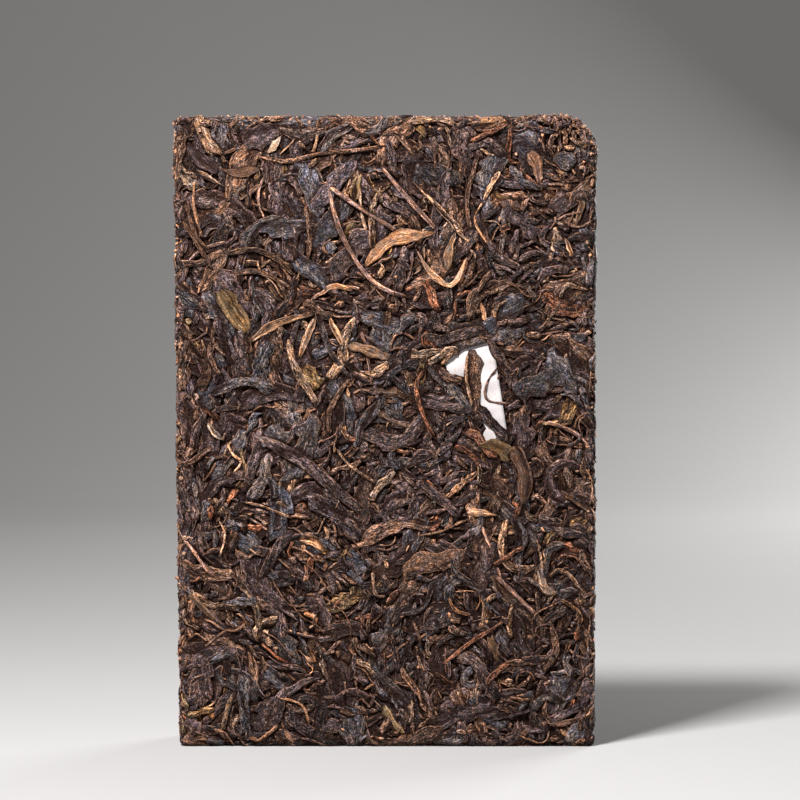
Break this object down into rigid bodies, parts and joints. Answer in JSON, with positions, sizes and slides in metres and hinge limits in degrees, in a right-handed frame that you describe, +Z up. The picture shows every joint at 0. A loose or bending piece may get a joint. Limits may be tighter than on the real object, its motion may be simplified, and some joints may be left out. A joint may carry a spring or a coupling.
{
  "type": "pu erh tea brick",
  "caption": "Brick of pressed dark tea leaf standing on its short edge, with one worn corner and a blank paper slip pressed into its front.",
  "frame": {"origin": "centre of the short edge that the brick stands on", "axes": "+Z up along the brick's length, the front with the paper slip faces -Y, +X to the right seen from the front, towards the worn corner"},
  "size_m": [0.15, 0.032, 0.225],
  "materials": {
    "pressed_leaf": "matt, dark brown, uneven",
    "slip_paper": "uncoated, off white"
  },
  "bodies": {
    "root": {"tea_block": "pressed_leaf", "paper_slip": "slip_paper"}
  },
  "joints": []
}
